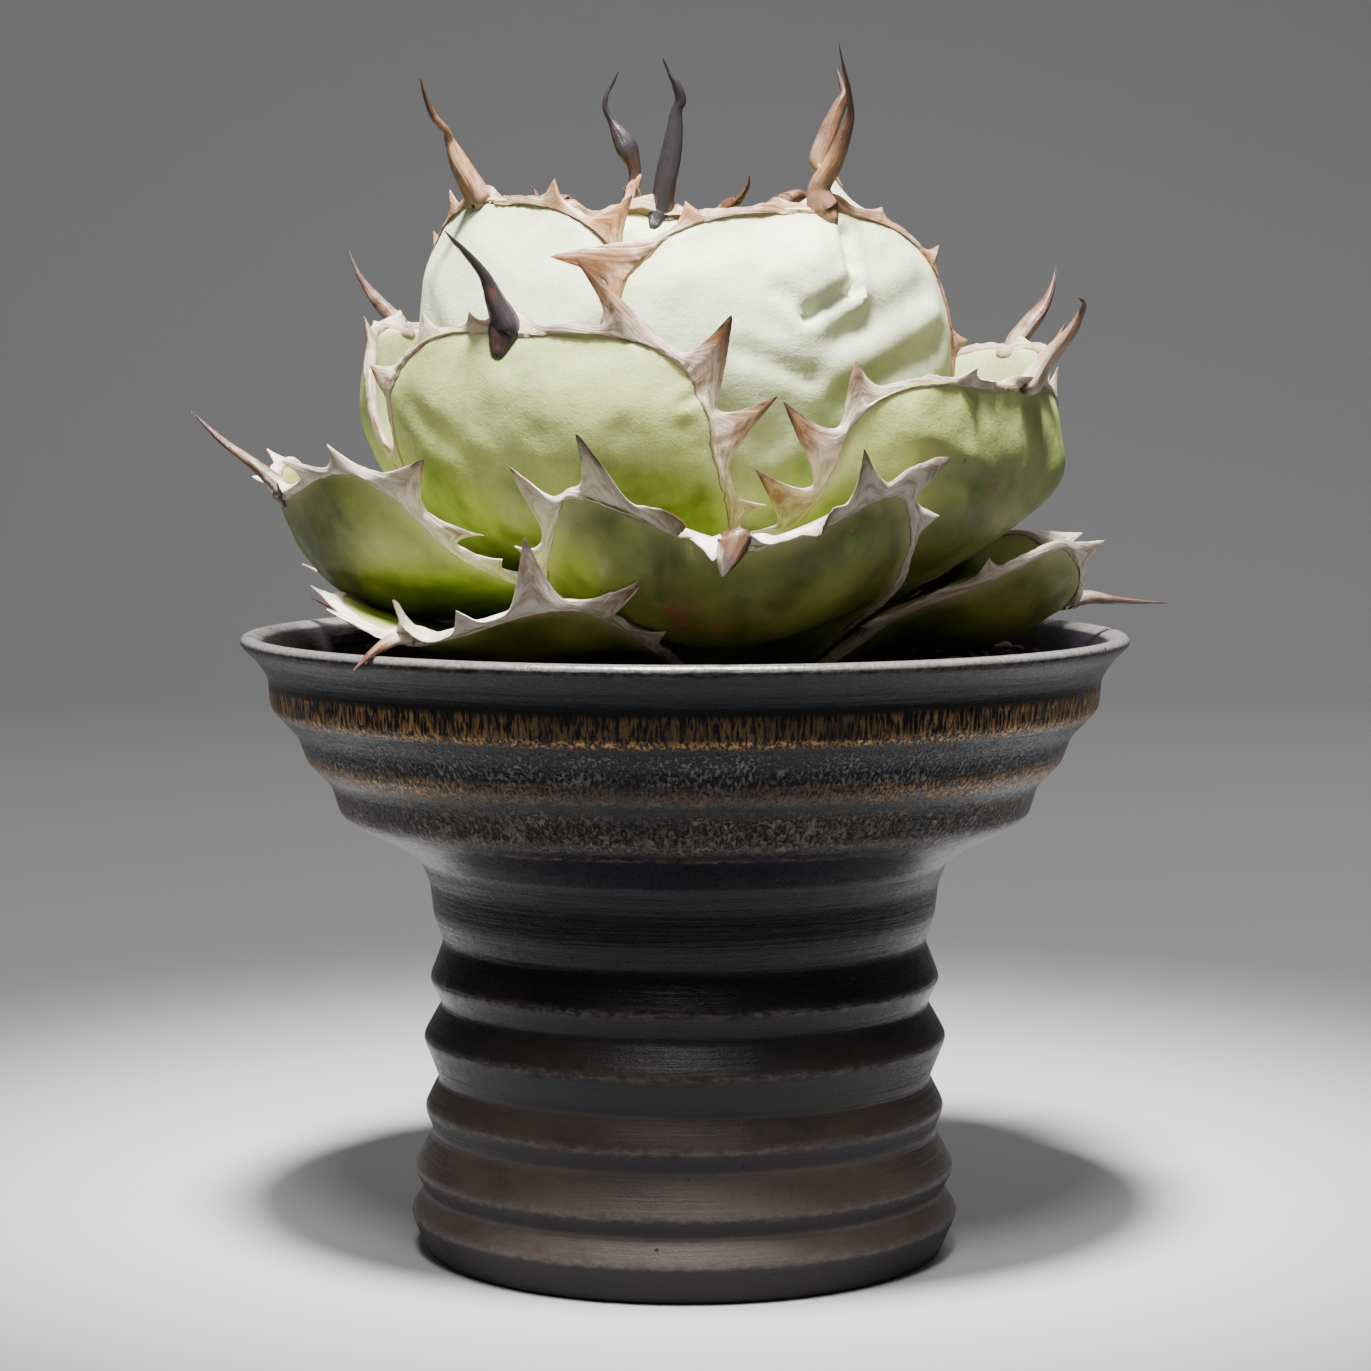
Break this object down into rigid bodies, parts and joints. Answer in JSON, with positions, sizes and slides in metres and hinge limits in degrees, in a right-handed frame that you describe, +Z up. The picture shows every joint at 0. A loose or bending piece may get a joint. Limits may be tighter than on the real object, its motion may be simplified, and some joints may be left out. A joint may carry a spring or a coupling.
{
  "type": "potted agave titanota",
  "caption": "Compact ball-shaped agave with broad horn-edged leaves and long end spines, growing in soil in a tall hand-thrown ceramic pot with turned bands.",
  "frame": {"origin": "centre of the pot's foot, on the surface that the pot stands on", "axes": "+Z up along the pot's axis, -Y towards the viewer in the picture, +X to the viewer's right"},
  "size_m": [0.1855, 0.18, 0.2227],
  "materials": {
    "pot_glaze": "near-black metallic brown stoneware, satin, with crackled bands on the bowl",
    "soil": "rough dry potting mix of bark and grit",
    "stem_green": "matt yellow-green fibrous stem",
    "leaf_green": "waxy green with a pale bloom",
    "horn": "corky horn, silver-grey to dark brown"
  },
  "bodies": {
    "root": {"pot": "pot_glaze", "soil": "soil", "stem": "stem_green", "bud": "leaf_green", "leaf_00": "leaf_green", "leaf_01": "leaf_green", "leaf_02": "leaf_green", "leaf_03": "leaf_green", "leaf_04": "leaf_green", "leaf_05": "leaf_green", "leaf_06": "leaf_green", "leaf_07": "leaf_green", "leaf_08": "leaf_green", "leaf_09": "leaf_green", "leaf_10": "leaf_green", "leaf_11": "leaf_green", "leaf_12": "leaf_green", "leaf_13": "leaf_green", "leaf_14": "leaf_green", "leaf_15": "leaf_green", "leaf_16": "leaf_green", "leaf_17": "leaf_green", "leaf_18": "leaf_green", "leaf_19": "leaf_green", "leaf_20": "leaf_green", "horn_00": "horn", "horn_01": "horn", "horn_02": "horn", "horn_03": "horn", "horn_04": "horn", "horn_05": "horn", "horn_06": "horn", "horn_07": "horn", "horn_08": "horn", "horn_09": "horn", "horn_10": "horn", "horn_11": "horn", "horn_12": "horn", "horn_13": "horn", "horn_14": "horn", "horn_15": "horn", "horn_16": "horn", "horn_17": "horn", "horn_18": "horn", "horn_19": "horn", "horn_20": "horn"}
  },
  "joints": []
}
